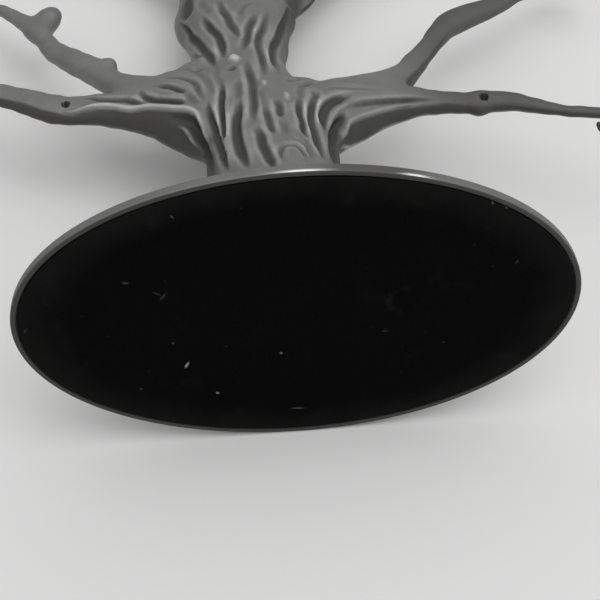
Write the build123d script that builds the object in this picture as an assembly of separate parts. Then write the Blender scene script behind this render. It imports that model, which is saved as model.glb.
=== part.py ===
from build123d import *
import os
from collections import namedtuple
from math import atan2, cos, hypot, radians, sin, sqrt

# Photo tree stand: a cast metal tree on an oval base plate with a felt underside.
# Eight branch castings plug into a two-part trunk, and their curled tips carry small hanging frames.
# Frame: X along the base's long axis, -Y the front of the tree, +Z up, in millimetres.
# The origin is the middle of the felt's underside, where the stand meets the table.

# Base plate
BASE_LENGTH = 152.0
BASE_WIDTH = 89.0
BASE_EDGE_HEIGHT = 3.3
BASE_BEVEL_RUN = 7.0
BASE_BEVEL_RISE = 2.4
BASE_EDGE_ROUND = 0.5
RIM_WIDTH = 1.5

# Felt pad in the recess under the base
RECESS_DEPTH = 1.0
FELT_PROUD = 0.3
FELT_EDGE_GAP = 0.35

# Countersunk screws that hold the trunk from below
SCREW_SPACING = 57.0
SCREW_DIAMETER = 4.0
SCREW_HEAD_DIAMETER = 7.6
SCREW_HEAD_HEIGHT = 2.2
SCREW_GRIP = 8.0
SCREW_HOLE_CLEARANCE = 0.2
THREAD_CLEARANCE = 0.05
DRIVE_SLOT_LENGTH = 4.4
DRIVE_SLOT_WIDTH = 0.9
DRIVE_SLOT_DEPTH = 1.3
SCREW_BOSS_WALL = 1.6

# Hollow in the foot of the trunk, and the spigot on the base that centres it
CORE_RADIUS = 10.0
CORE_TOP_RADIUS = 6.0
CORE_STRAIGHT = 4.0
CORE_TAPER = 54.0
SPIGOT_HEIGHT = 3.0
SPIGOT_CLEARANCE = 0.1

# Tenon joints between the castings
TENON_DIAMETER = 4.0
TENON_LENGTH = 8.0
TENON_CLEARANCE = 0.1
WAIST_TENON_HALF_WIDTH = 9.0
WAIST_TENON_HALF_DEPTH = 6.0
WAIST_TENON_LENGTH = 12.0

# Hang holes and curled tips
HANG_HOLE_DIAMETER = 3.0
HANG_HOLE_DROP = 1.2
HANG_HOLE_OVERRUN = 2.0
CURL_START_RADIUS = 5.4
CURL_END_RADIUS = 4.6
CURL_TURN = radians(255.0)
CURL_STEPS = 9
CURL_TIP_RADIUS = 1.1

# Surface roots, from inside the trunk out to the tip: share of the reach, then
# height of the root's middle, half width and half depth
ROOT_START = 8.0
ROOT_EDGE_MARGIN = 5.0
ROOT_PROFILE = (
    (0.00, 24.0, 12.5, 12.0),
    (0.25, 12.0, 10.5, 10.0),
    (0.50, 5.5, 8.2, 8.0),
    (0.75, 2.2, 5.4, 5.0),
    (1.00, 0.2, 2.4, 2.2),
)
# Direction of each root in degrees, and how much shorter it stops than the base allows
ROOTS = ((0, 8.0), (38, 3.0), (78, 1.0), (128, 2.0), (180, 6.0), (222, 4.0), (262, 2.0), (318, 5.0))

# Main bark grooves of the trunk, the same on its front and back: the places that each one runs
# through, from its upper end down, across the tree and above the foot of the trunk
GROOVE_HALF_WIDTH = 1.5
GROOVE_DEPTH = 1.4
GROOVE_END_SHARE = 0.35
GROOVES = (
    ((-11.6, 80), (-12.8, 71), (-13.5, 63), (-13.5, 55), (-12.3, 48), (-10, 41)),
    ((-7.3, 65), (-6.4, 59), (-5.3, 52), (-4.1, 46), (-3.2, 40)),
    ((-8.3, 104), (-7.4, 96), (-7, 85), (-6.9, 77), (-7.3, 69)),
    ((11.6, 83), (10.4, 74), (10.2, 66), (10.6, 59), (11.3, 51), (12, 46)),
    ((-22, 136), (-19.3, 128), (-16.9, 121), (-15.8, 114), (-15.5, 107)),
    ((1, 140), (-0.8, 131), (-2.7, 123), (-4.2, 115), (-3.5, 108), (-3.2, 100)),
)

# Heights of the faces that stack up from the table
RIM_BOTTOM = FELT_PROUD
RECESS_FLOOR = RIM_BOTTOM + RECESS_DEPTH
EDGE_TOP = RIM_BOTTOM + BASE_EDGE_HEIGHT
FOOT = EDGE_TOP + BASE_BEVEL_RISE
FELT_THICKNESS = RECESS_FLOOR

BASE_HALF_LENGTH = BASE_LENGTH / 2
BASE_HALF_WIDTH = BASE_WIDTH / 2
FLAT_HALF_LENGTH = BASE_HALF_LENGTH - BASE_BEVEL_RUN
FLAT_HALF_WIDTH = BASE_HALF_WIDTH - BASE_BEVEL_RUN
SCREW_RADIUS = SCREW_DIAMETER / 2
SCREW_PLACES = (-SCREW_SPACING / 2, SCREW_SPACING / 2)

# A cross-section of the tree: its middle, with the height counted from the foot of the trunk,
# its half width in the plane of the tree and its half depth from front to back
Station = namedtuple("Station", "x y height half_width half_depth")

# A branch: its stations from inside its parent to its tip, the number of the station where the
# casting ends at its parent, and the way the tip curls (1 to the left, -1 to the right)
Branch = namedtuple("Branch", "stations seam curl")

LOWER_TRUNK = (
    Station(-1.5, 0, 0, 26.0, 19.0),
    Station(-1.9, 0, 14, 22.2, 16.5),
    Station(-2.5, 0, 34, 20.2, 14.5),
    Station(-2.6, 0, 54, 19.6, 13.5),
    Station(-2.9, 0, 69, 19.9, 13.0),
    Station(-5.0, 0, 84, 18.5, 12.6),
    Station(-8.5, 0, 99, 16.5, 12.2),
    Station(-10.6, 0, 112, 15.2, 11.6),
    Station(-10.7, 0, 120, 15.0, 11.2),
)
UPPER_TRUNK = (
    LOWER_TRUNK[-1],
    Station(-10.2, 0, 129, 15.8, 11.0),
    Station(-10.2, 0, 139, 16.9, 10.8),
    Station(-10.9, 0, 150, 19.8, 10.2),
    Station(-9.5, 0, 160, 9.0, 6.5),
)

TRUNK = LOWER_TRUNK + UPPER_TRUNK[1:]

LEFT_LIMB = Branch(
    (
        Station(-8, 0, 88, 15.0, 11.0),
        Station(-18, 0, 89, 16.6, 10.6),
        Station(-28, 0, 93.3, 13.6, 9.3),
        Station(-38, 0, 97.2, 9.9, 7.0),
        Station(-48, 0, 99.4, 7.8, 5.2),
        Station(-57, 0, 100.7, 6.3, 4.1),
        Station(-66, 0, 101.4, 6.1, 3.5),
        Station(-72, 0, 104, 5.8, 3.5),
        Station(-79, 0, 108.5, 5.2, 3.1),
        Station(-86, 0, 112.6, 4.6, 3.0),
        Station(-94, -0.5, 116.2, 4.0, 2.8),
        Station(-102, -1.5, 117.8, 3.0, 2.4),
        Station(-108, -2.5, 117.4, 2.2, 1.9),
    ),
    5,
    1,
)
LEFT_FORK = Branch(
    (
        Station(-20, 0, 94, 13.0, 9.0),
        Station(-30, 0, 103, 12.5, 8.2),
        Station(-39.5, 0, 106.2, 7.9, 6.4),
        Station(-50.4, 0, 114.6, 4.8, 4.2),
        Station(-57.5, 0, 124, 5.2, 4.0),
        Station(-65.3, 0, 131.7, 4.7, 3.5),
        Station(-70.5, 0, 137.5, 4.2, 3.0),
        Station(-74.3, 0, 144, 3.5, 2.6),
        Station(-79.5, 0, 154, 3.4, 2.5),
        Station(-87.5, 0.5, 166.2, 2.7, 2.1),
        Station(-96, 2.0, 176.3, 1.9, 1.7),
        Station(-104, 4.0, 182.5, 1.8, 1.65),
    ),
    4,
    1,
)
LEFT_FORK_STUB = (
    Station(-78.0, 0, 151, 3.6, 3.0),
    Station(-76.5, 0, 155.5, 3.9, 3.4),
    Station(-75.4, -0.5, 160.5, 4.0, 3.6),
    Station(-75.0, -0.8, 164, 3.2, 2.9),
    Station(-74.8, -1.0, 165.4, 1.6, 1.5),
)
RIGHT_LIMB = Branch(
    (
        Station(2, 0, 83, 15.0, 11.0),
        Station(12, 0, 86, 14.8, 10.4),
        Station(22, 0, 89.2, 12.4, 8.8),
        Station(32, 0, 91.5, 9.2, 6.8),
        Station(41, 0, 92, 6.5, 4.8),
        Station(50, 0, 90.9, 4.5, 3.4),
        Station(58, 0, 89.6, 4.0, 3.0),
        Station(64.5, 0, 89.4, 4.3, 3.2),
        Station(72, 0, 88.8, 3.6, 2.8),
        Station(78, 0, 86.3, 3.0, 2.4),
        Station(84, 0, 83.2, 2.2, 1.9),
        Station(90, 0, 80.7, 1.85, 1.65),
        Station(96, 0, 79.3, 1.9, 1.75),
        Station(103.5, -0.3, 76.6, 1.75, 1.65),
    ),
    5,
    -1,
)
RIGHT_FORK = Branch(
    (
        Station(14, 0, 87.0, 8.0, 7.6),
        Station(24, 0, 94, 8.8, 7.4),
        Station(33.7, 0, 100.5, 7.1, 5.8),
        Station(41.3, 0, 107.4, 4.7, 4.0),
        Station(46.5, 0, 115.7, 4.2, 3.2),
        Station(51.8, 0, 124.4, 3.5, 2.7),
        Station(56.3, 0, 132.6, 4.1, 3.0),
        Station(61, 0, 138.8, 5.0, 3.6),
        Station(68, 0, 143.6, 4.9, 3.55),
        Station(77.5, 0, 148.9, 3.8, 2.8),
        Station(87, 0.5, 156.7, 3.0, 2.3),
        Station(95.5, 2.0, 163.5, 2.5, 2.0),
        Station(102, 4.0, 170.5, 2.0, 1.8),
    ),
    4,
    -1,
)
LEFT_CROWN = Branch(
    (
        Station(-13.5, 0, 130, 10.0, 10.2),
        Station(-16.8, 0, 146, 12.2, 10.2),
        Station(-18.5, 0, 159, 11.4, 9.6),
        Station(-20.5, 0, 171, 9.6, 8.6),
        Station(-24.5, 0, 182, 7.8, 7.2),
        Station(-31, 0, 192, 6.2, 5.8),
        Station(-39.5, -1, 200.5, 5.2, 4.6),
        Station(-49, -2.5, 207, 4.4, 3.8),
        Station(-58, -4.5, 214, 3.5, 3.0),
        Station(-65, -6.5, 222.5, 2.7, 2.3),
        Station(-71, -8.0, 230, 2.1, 1.9),
    ),
    5,
    1,
)
LEFT_LEADER = Branch(
    (
        Station(-20.5, 0, 172, 7.6, 7.2),
        Station(-18.5, 0.5, 184, 6.4, 6.0),
        Station(-16.5, 1, 194, 5.4, 5.0),
        Station(-17, 2.5, 205, 4.6, 4.2),
        Station(-20, 4, 216, 3.9, 3.4),
        Station(-22.5, 5.5, 226, 3.0, 2.6),
        Station(-27, 7, 234.5, 2.2, 2.0),
    ),
    2,
    1,
)
RIGHT_CROWN = Branch(
    (
        Station(-7, 0, 130, 10.2, 10.2),
        Station(-4.2, 0, 146, 10.4, 10.0),
        Station(1.4, 0, 159, 9.4, 9.2),
        Station(9.5, 0, 170, 8.4, 8.0),
        Station(16.5, 0, 180, 7.4, 7.0),
        Station(25, 0, 188.5, 6.0, 5.6),
        Station(35, 1, 194.5, 5.0, 4.4),
        Station(45, 2.5, 199.5, 4.2, 3.6),
        Station(54, 4.5, 206.5, 3.4, 2.9),
        Station(61, 6, 215, 2.6, 2.2),
        Station(67, 7, 222, 2.1, 1.9),
    ),
    5,
    -1,
)
RIGHT_LEADER = Branch(
    (
        Station(9.5, 0, 170, 7.2, 6.8),
        Station(11.5, -0.5, 182.5, 6.0, 5.6),
        Station(13, -1, 193, 5.0, 4.7),
        Station(12, -2.5, 204, 4.3, 3.9),
        Station(13.5, -4, 215, 3.6, 3.1),
        Station(18, -5.5, 225, 2.8, 2.4),
        Station(24, -6.5, 232.5, 2.1, 1.9),
    ),
    2,
    -1,
)
LOWER_BRANCHES = {
    "left_limb": LEFT_LIMB,
    "left_fork": LEFT_FORK,
    "right_limb": RIGHT_LIMB,
    "right_fork": RIGHT_FORK,
}
UPPER_BRANCHES = {
    "left_crown": LEFT_CROWN,
    "left_leader": LEFT_LEADER,
    "right_crown": RIGHT_CROWN,
    "right_leader": RIGHT_LEADER,
}
# The limbs that carry a hang hole, and the station that it goes through
HANG_HOLES = {"left_limb": LEFT_LIMB.stations[6], "right_limb": RIGHT_LIMB.stations[7]}

FRONT_TO_BACK = Vector(0, 1, 0)
FROM_BELOW = (Align.CENTER, Align.CENTER, Align.MIN)
FROM_ABOVE = (Align.CENTER, Align.CENTER, Align.MAX)


def place(station):
    """The station's middle as a point of the part's frame."""
    return Vector(station.x, station.y, FOOT + station.height)


def along(stations, index):
    """Direction of growth at a station: from the station before it to the one after it."""
    before = place(stations[max(index - 1, 0)])
    after = place(stations[min(index + 1, len(stations) - 1)])
    return (after - before).normalized()


def square_plane(station, direction):
    """Plane square to the branch, its X in the plane of the tree and its Y from front to back."""
    return Plane(place(station), x_dir=FRONT_TO_BACK.cross(direction), z_dir=direction)


def cross_section(station, direction):
    """The branch's elliptical cross-section at a station."""
    return square_plane(station, direction) * Ellipse(station.half_width, station.half_depth)


def level_section(station):
    """A level elliptical cross-section of the trunk."""
    return Plane(place(station)) * Ellipse(station.half_width, station.half_depth)


def stretch(stations, first, last):
    """Solid through the stations from first to last, with the directions of the whole branch."""
    return loft([cross_section(stations[i], along(stations, i)) for i in range(first, last + 1)])


def curl(end, direction, side):
    """Tip that goes on from a branch's last station and curls under on a tightening radius."""
    sections = [cross_section(end, direction)]
    heading = atan2(direction.Z, direction.X)
    turn = side * CURL_TURN / CURL_STEPS
    start_radius = (end.half_width + end.half_depth) / 2
    spot = end
    for step in range(1, CURL_STEPS + 1):
        share = step / CURL_STEPS
        bend = CURL_START_RADIUS + (CURL_END_RADIUS - CURL_START_RADIUS) * share
        chord = 2 * bend * sin(abs(turn) / 2)
        radius = start_radius + (CURL_TIP_RADIUS - start_radius) * share
        x = spot.x + chord * cos(heading + turn / 2)
        height = spot.height + chord * sin(heading + turn / 2)
        spot = Station(x, end.y, height, radius, radius)
        heading += turn
        sections.append(cross_section(spot, Vector(cos(heading), 0, sin(heading))))
    return loft(sections)


def tenon(branch, radius, length):
    """Round peg that runs from the branch's seam back into its parent."""
    seam = branch.stations[branch.seam]
    back = along(branch.stations, branch.seam) * -1
    return Plane(place(seam), z_dir=back) * Cylinder(radius, length, align=FROM_BELOW)


def stub(branch):
    """The part of a branch that is cast with the trunk, up to the seam."""
    return stretch(branch.stations, 0, branch.seam)


def socket(branch):
    """The hole in the trunk's stub that takes the branch's peg."""
    return tenon(branch, TENON_DIAMETER / 2 + TENON_CLEARANCE, TENON_LENGTH + TENON_CLEARANCE)


def branch_casting(branch):
    """A branch from its seam to its curled tip, with the peg at its root."""
    stations = branch.stations
    last = len(stations) - 1
    casting = stretch(stations, branch.seam, last)
    casting += curl(stations[last], along(stations, last), branch.curl)
    return casting + tenon(branch, TENON_DIAMETER / 2, TENON_LENGTH)


def hang_hole(station):
    """Hole from front to back through a limb, a little below its middle line."""
    length = 2 * (station.half_depth + HANG_HOLE_OVERRUN)
    middle = place(station) - Vector(0, 0, HANG_HOLE_DROP)
    return Plane(middle, z_dir=FRONT_TO_BACK) * Cylinder(HANG_HOLE_DIAMETER / 2, length)


def root_reach(angle, shortfall):
    """How far a root runs out from the trunk's middle and still lies on the base's flat top."""
    edge = 1 / hypot(cos(angle) / FLAT_HALF_LENGTH, sin(angle) / FLAT_HALF_WIDTH)
    return edge - ROOT_EDGE_MARGIN - shortfall


def root(angle, shortfall):
    """One surface root, lofted outwards through upright sections that sink to its tip."""
    outward = Vector(cos(angle), sin(angle), 0)
    sideways = Vector(-sin(angle), cos(angle), 0)
    run = root_reach(angle, shortfall) - ROOT_START
    sections = []
    for share, height, half_width, half_depth in ROOT_PROFILE:
        middle = outward * (ROOT_START + run * share) + Vector(0, 0, FOOT + height)
        sections.append(Plane(middle, x_dir=sideways, z_dir=outward) * Ellipse(half_width, half_depth))
    return loft(sections)


def oval(half_length, half_width, low, high):
    """Upright oval plate between two heights."""
    return Pos(0, 0, low) * extrude(Ellipse(half_length, half_width), high - low)


def trunk_reach(x, height):
    """How far the trunk's surface stands in front of its middle plane, at a place across the tree."""
    above = next(number for number, station in enumerate(TRUNK) if station.height >= height)
    lower, upper = TRUNK[above - 1], TRUNK[above]
    share = (height - lower.height) / (upper.height - lower.height)
    section = Station(*(low + (high - low) * share for low, high in zip(lower, upper)))
    return section.half_depth * sqrt(1 - ((x - section.x) / section.half_width) ** 2)


def bark_groove(line, side):
    """Cutter that lies along the trunk's surface and thins out at both ends (side -1 front, 1 back)."""
    stations = []
    for number, (x, height) in enumerate(line):
        at_end = number in (0, len(line) - 1)
        share = GROOVE_END_SHARE if at_end else 1
        y = side * trunk_reach(x, height)
        stations.append(Station(x, y, height, GROOVE_HALF_WIDTH * share, GROOVE_DEPTH * share))
    return stretch(stations, 0, len(line) - 1)


def grooved(trunk):
    """A trunk casting with the main bark grooves cut into its front and back."""
    for line in GROOVES:
        for side in (-1, 1):
            trunk -= bark_groove(line, side)
    return trunk


def base_plate():
    """Oval plate with a bevelled top, a felt recess below, two screw holes and the trunk's spigot."""
    plate = oval(BASE_HALF_LENGTH, BASE_HALF_WIDTH, RIM_BOTTOM, EDGE_TOP)
    outer_edges = plate.edges().filter_by_position(Axis.Z, RIM_BOTTOM, RIM_BOTTOM)
    plate = fillet(outer_edges, BASE_EDGE_ROUND)
    lower = Pos(0, 0, EDGE_TOP) * Ellipse(BASE_HALF_LENGTH, BASE_HALF_WIDTH)
    upper = Pos(0, 0, FOOT) * Ellipse(FLAT_HALF_LENGTH, FLAT_HALF_WIDTH)
    plate += loft([lower, upper], ruled=True)
    plate -= oval(BASE_HALF_LENGTH - RIM_WIDTH, BASE_HALF_WIDTH - RIM_WIDTH, RIM_BOTTOM, RECESS_FLOOR)
    for x in SCREW_PLACES:
        hole_radius = SCREW_RADIUS + SCREW_HOLE_CLEARANCE
        head_radius = SCREW_HEAD_DIAMETER / 2 + SCREW_HOLE_CLEARANCE
        floor = Pos(x, 0, RECESS_FLOOR)
        plate -= floor * Cylinder(hole_radius, FOOT - RECESS_FLOOR, align=FROM_BELOW)
        plate -= floor * Cone(head_radius, hole_radius, SCREW_HEAD_HEIGHT, align=FROM_BELOW)
    spigot = Cylinder(CORE_RADIUS - SPIGOT_CLEARANCE, SPIGOT_HEIGHT, align=FROM_BELOW)
    return plate + Pos(0, 0, FOOT) * spigot


def felt_pad():
    """Oval felt glued into the recess, a little proud of the rim."""
    inset = RIM_WIDTH + FELT_EDGE_GAP
    return oval(BASE_HALF_LENGTH - inset, BASE_HALF_WIDTH - inset, 0, FELT_THICKNESS)


def base_screw(x):
    """Countersunk cross-recess screw, its head flush with the recess floor."""
    shank_length = FOOT + SCREW_GRIP - RECESS_FLOOR
    screw = Cylinder(SCREW_RADIUS, shank_length, align=FROM_BELOW)
    screw += Cone(SCREW_HEAD_DIAMETER / 2, SCREW_RADIUS, SCREW_HEAD_HEIGHT, align=FROM_BELOW)
    for length, width in ((DRIVE_SLOT_LENGTH, DRIVE_SLOT_WIDTH), (DRIVE_SLOT_WIDTH, DRIVE_SLOT_LENGTH)):
        screw -= Box(length, width, DRIVE_SLOT_DEPTH, align=FROM_BELOW)
    return Pos(x, 0, RECESS_FLOOR) * screw


def waist_tenon(clearance):
    """Oval peg under the upper trunk, or its socket when given a clearance."""
    outline = Ellipse(WAIST_TENON_HALF_WIDTH + clearance, WAIST_TENON_HALF_DEPTH + clearance)
    return Plane(place(UPPER_TRUNK[0])) * extrude(outline, -WAIST_TENON_LENGTH - clearance)


def lower_trunk():
    """Trunk from its roots to the waist, with the stubs of the four lower branches."""
    trunk = loft([level_section(station) for station in LOWER_TRUNK])
    for angle, shortfall in ROOTS:
        trunk += root(radians(angle), shortfall)
    for branch in LOWER_BRANCHES.values():
        trunk += stub(branch)
    trunk = grooved(trunk)
    below_foot = Box(BASE_LENGTH, BASE_WIDTH, BASE_WIDTH, align=FROM_ABOVE)
    trunk -= Pos(0, 0, FOOT) * below_foot
    screw_depth = SCREW_GRIP + THREAD_CLEARANCE
    for x in SCREW_PLACES:
        boss_radius = SCREW_RADIUS + SCREW_BOSS_WALL
        trunk += Pos(x, 0, FOOT) * Cylinder(boss_radius, SCREW_GRIP + SCREW_BOSS_WALL, align=FROM_BELOW)
        trunk -= Pos(x, 0, FOOT) * Cylinder(SCREW_RADIUS + THREAD_CLEARANCE, screw_depth, align=FROM_BELOW)
    trunk -= Pos(0, 0, FOOT) * Cylinder(CORE_RADIUS, CORE_STRAIGHT, align=FROM_BELOW)
    core_taper = Cone(CORE_RADIUS, CORE_TOP_RADIUS, CORE_TAPER, align=FROM_BELOW)
    trunk -= Pos(0, 0, FOOT + CORE_STRAIGHT) * core_taper
    for branch in LOWER_BRANCHES.values():
        trunk -= socket(branch)
    return trunk - waist_tenon(TENON_CLEARANCE)


def upper_trunk():
    """Trunk from the waist to its fork, with the stubs of the four upper branches."""
    trunk = loft([level_section(station) for station in UPPER_TRUNK])
    for branch in UPPER_BRANCHES.values():
        trunk += stub(branch)
    trunk = grooved(trunk)
    for branch in UPPER_BRANCHES.values():
        trunk -= socket(branch)
    return trunk + waist_tenon(0)


def left_fork():
    """The left fork, with the cut-off twig that stands up from it."""
    twig = stretch(LEFT_FORK_STUB, 0, len(LEFT_FORK_STUB) - 1)
    return branch_casting(LEFT_FORK) + twig


nodes = {
    "base_plate": base_plate(),
    "felt_pad": felt_pad(),
    "base_screws": Compound(children=[base_screw(x) for x in SCREW_PLACES]),
    "lower_trunk": lower_trunk(),
    "upper_trunk": upper_trunk(),
}
for name, branch in {**LOWER_BRANCHES, **UPPER_BRANCHES}.items():
    nodes[name] = left_fork() if branch is LEFT_FORK else branch_casting(branch)
for name, station in HANG_HOLES.items():
    nodes[name] -= hang_hole(station)

os.makedirs("parts", exist_ok=True)
for name, solid in nodes.items():
    export_step(solid, f"parts/{name}.step")
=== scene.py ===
import bpy
import numpy as np
import openvdb
from mathutils import Matrix


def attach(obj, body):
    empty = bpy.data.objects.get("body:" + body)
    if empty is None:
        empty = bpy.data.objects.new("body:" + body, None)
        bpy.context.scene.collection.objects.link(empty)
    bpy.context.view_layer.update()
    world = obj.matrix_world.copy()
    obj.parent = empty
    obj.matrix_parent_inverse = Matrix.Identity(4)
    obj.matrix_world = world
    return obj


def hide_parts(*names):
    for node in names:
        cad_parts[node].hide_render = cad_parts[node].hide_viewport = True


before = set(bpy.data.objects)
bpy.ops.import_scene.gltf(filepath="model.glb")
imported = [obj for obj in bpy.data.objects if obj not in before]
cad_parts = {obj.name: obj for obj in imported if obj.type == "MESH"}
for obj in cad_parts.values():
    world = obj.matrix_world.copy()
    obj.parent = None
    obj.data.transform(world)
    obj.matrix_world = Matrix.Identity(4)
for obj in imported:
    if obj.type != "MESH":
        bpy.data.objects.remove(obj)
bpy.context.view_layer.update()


# Base plate: an oval casting finished like old pewter, with a thin rim round a shallow recess
# below, a plain upright edge and a bevelled top. Screws from below hold the trunk on it.

# Half length and half width of the outline, heights above the table, and widths, in millimetres
BASE = np.array([76.0, 44.5])
RIM_BOTTOM, RECESS_FLOOR, FOOT = 0.3, 1.3, 6.0
RIM_WIDTH, RIM_ROUND, BEVEL_RUN = 1.5, 0.55, 7.0

# Points round each ring of the plate
PLATE_TURNS = 360

# Profiles of the rim's inner edge, and of the edge and the bevel: inset from the outline, and height
INNER_RIM = np.array([(1.5, 0.5), (1.46, 0.36), (1.35, 0.3)])
EDGE_AND_BEVEL = np.array([
    (0.0, 1.6), (0.0, 2.8), (0.06, 3.4), (0.25, 3.65), (1.0, 3.95), (3.5, 4.8), (6.4, 5.82), (6.8, 5.95),
    (7.3, 6.0)])

# Painted shade of the rim's outer side: direction round the plate in degrees, and darkness
RIM_SHADE = np.array([
    (-180, 0.6), (-150, 0.45), (-120, 0.2), (-88, 0.2), (-80, 0.8), (-69, 0.8), (-62, 0.35), (-45, 0.35),
    (0, 0.6), (180, 0.6)])
# Painted shade on the rim's downward face
RIM_BOTTOM_SHADE = 1.6

# Two painted highlights on the rim: direction and spread in degrees, and brightness
GLINTS = np.array([-88.0, -65.5])
GLINT_SPREAD = np.array([5.0, 3.0])
GLINT_BRIGHTNESS = 2.2


class Value:
    """An output of a material's nodes. Arithmetic on it adds Math nodes to the same tree."""

    def __init__(self, tree, socket=None):
        self.tree = tree
        self.socket = socket

    def add(self, kind, settings, sockets, output=0):
        """Adds a node, gives it its settings and then its sockets, and returns one of its outputs."""
        node = self.tree.nodes.new(kind)
        for name, setting in settings.items():
            setattr(node, name, setting)
        for name, source in sockets.items():
            if isinstance(source, Value):
                self.tree.links.new(source.socket, node.inputs[name])
            else:
                node.inputs[name].default_value = source
        return Value(self.tree, node.outputs[output] if node.outputs else None)

    def math(self, operation, *terms):
        """A Math node on these terms."""
        return self.add("ShaderNodeMath", {"operation": operation}, dict(enumerate(terms)))

    def __add__(self, other):
        return self.math("ADD", self, other)

    def __sub__(self, other):
        return self.math("SUBTRACT", self, other)

    def __rsub__(self, other):
        return self.math("SUBTRACT", other, self)

    def __mul__(self, other):
        return self.math("MULTIPLY", self, other)

    def __abs__(self):
        return self.math("ABSOLUTE", self)

    __radd__ = __add__
    __rmul__ = __mul__

    def step(self, low, high):
        """0 below low, 1 above high and a smooth rise between them."""
        settings = {"interpolation_type": "SMOOTHSTEP"}
        return self.add("ShaderNodeMapRange", settings, {"Value": self, "From Min": low, "From Max": high})

    def mix(self, first, second):
        """Colour that goes from first to second as this value goes from 0 to 1."""
        return self.add("ShaderNodeMix", {"data_type": "RGBA"}, {0: self, 6: first, 7: second}, 2)

    def noise(self, scale, detail, roughness=0.5):
        """Noise read at this point."""
        sockets = {"Vector": self, "Scale": scale, "Detail": detail, "Roughness": roughness}
        return self.add("ShaderNodeTexNoise", {}, sockets)


def new_material(name):
    """A material with an empty tree: returns it, its tree as a Value, and its object coordinates."""
    material = bpy.data.materials.new(name)
    material.use_nodes = True
    material.node_tree.nodes.clear()
    tree = Value(material.node_tree)
    return material, tree, tree.add("ShaderNodeTexCoord", {}, {}, 3)


def surface(tree, sockets):
    """Closes a material's tree with a Principled shader."""
    shader = tree.add("ShaderNodeBsdfPrincipled", {}, sockets)
    tree.add("ShaderNodeOutputMaterial", {}, {"Surface": shader})


def grey(level, warmth=0.0):
    """A grey of this level, a little towards red and away from blue by the warmth."""
    return (level * (1 + warmth), level, level * (1 - warmth), 1)


def cast_metal():
    """Antiqued pewter: satin grey on the worn ridges and dark in the grooves, with a fine cast grain, painted
    shade where it faces aside or down, and painted highlights on the ribs and the rim's glints.
    """
    material, tree, place = new_material("cast_metal")
    groove_and_shade = tree.add("ShaderNodeAttribute", {"attribute_name": "groove_and_shade"}, {}, 2)
    wear_and_glint = tree.add("ShaderNodeAttribute", {"attribute_name": "wear_and_glint"}, {}, 2)
    mottle = place.noise(95, 4, 0.6)
    grain = place.noise(900, 3, 0.6)
    # Dark patina in the grooves, together with painted shade on what faces aside or down and on the rim
    dark = (groove_and_shade + (mottle - 0.5) * 0.4 * groove_and_shade.step(0.02, 0.3)).step(0.05, 1.2)
    tone = dark.mix(grey(0.2, 0.01), grey(0.06, 0.03))
    # Wear on the ridges and chips, together with a painted highlight on the ribs
    tone = (wear_and_glint.step(0.05, 0.8) * 0.45 + wear_and_glint.step(0.8, 0.95) * 0.5).mix(tone, grey(0.5, 0.005))
    # Near white for the rim's painted highlights and for the brightest bare chips
    tone = wear_and_glint.step(1.0, 2.0).mix(tone, grey(0.95))
    shade = mottle.step(0.25, 0.75) * 0.2 + 0.88 + (grain - 0.5) * 0.2
    shades = tree.add("ShaderNodeCombineColor", {}, {0: shade, 1: shade, 2: shade})
    settings = {"data_type": "RGBA", "blend_type": "MULTIPLY"}
    tone = tree.add("ShaderNodeMix", settings, {0: 1.0, 6: tone, 7: shades}, 2)
    height = grain + mottle * 0.6
    relief = tree.add("ShaderNodeBump", {}, {"Strength": 0.25, "Distance": 0.0002, "Height": height})
    rough = 0.5 + dark * 0.2 + (mottle - 0.5) * 0.15
    surface(tree, {"Base Color": tone, "Roughness": rough, "Metallic": 0.25, "Normal": relief})
    return material


def make_piece(name, points, face_sets, material, node):
    """Smooth-shaded mesh from points in millimetres and arrays of corner numbers, which stands for a node."""
    mesh = bpy.data.meshes.new(name)
    corners = np.concatenate([faces.ravel() for faces in face_sets]).astype(np.int32)
    sizes = np.concatenate([np.full(len(faces), faces.shape[1]) for faces in face_sets]).astype(np.int32)
    mesh.vertices.add(len(points))
    mesh.vertices.foreach_set("co", (points / 1000).astype(np.float32).ravel())
    mesh.loops.add(len(corners))
    mesh.loops.foreach_set("vertex_index", corners)
    mesh.polygons.add(len(sizes))
    mesh.polygons.foreach_set("loop_start", (np.cumsum(sizes) - sizes).astype(np.int32))
    mesh.polygons.foreach_set("use_smooth", np.ones(len(sizes), bool))
    mesh.update(calc_edges=True)
    mesh.materials.append(material)
    item = bpy.data.objects.new(name, mesh)
    bpy.context.scene.collection.objects.link(item)
    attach(item, "root")
    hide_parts(node)
    return item


def oval_shell(profile, turns):
    """Closed oval surface: each profile row is a ring's half length, half width and height, a point goes
    round it as (half length x cosine, half width x sine, height), and a middle point closes each end."""
    angle = np.linspace(0, 2 * np.pi, turns, endpoint=False)
    length, width, height = profile.T[:, :, None]
    rings = np.stack([length * np.cos(angle), width * np.sin(angle), height + 0 * angle], -1)
    middles = np.array([[0, 0, profile[0, 2]], [0, 0, profile[-1, 2]]])
    here = np.arange(len(profile) * turns).reshape(len(profile), turns)
    after = np.roll(here, -1, axis=1)
    sides = np.stack([here[:-1], after[:-1], after[1:], here[1:]], -1).reshape(-1, 4)
    first = np.stack([np.full(turns, here.size), after[0], here[0]], -1)
    last = np.stack([np.full(turns, here.size + 1), here[-1], after[-1]], -1)
    return np.vstack([rings.reshape(-1, 3), middles]), [sides, np.vstack([first, last])]


def ring_rows(insets, heights, outline=BASE):
    """Profile rows at these insets from an oval's edge."""
    inset = np.asarray(insets, float)
    return np.stack([outline[0] - inset, outline[1] - inset, np.asarray(heights, float)], -1)


def disc_rows(shares, height, outline):
    """Profile rows on a level face, at these shares of an oval's size."""
    share = np.asarray(shares, float)
    return np.stack([outline[0] * share, outline[1] * share, height + 0 * share], -1)


def store(item, name, values):
    """Keeps one number per vertex as an attribute."""
    item.data.attributes.new(name, "FLOAT", "POINT").data.foreach_set("value", values.astype(np.float32))


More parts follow.
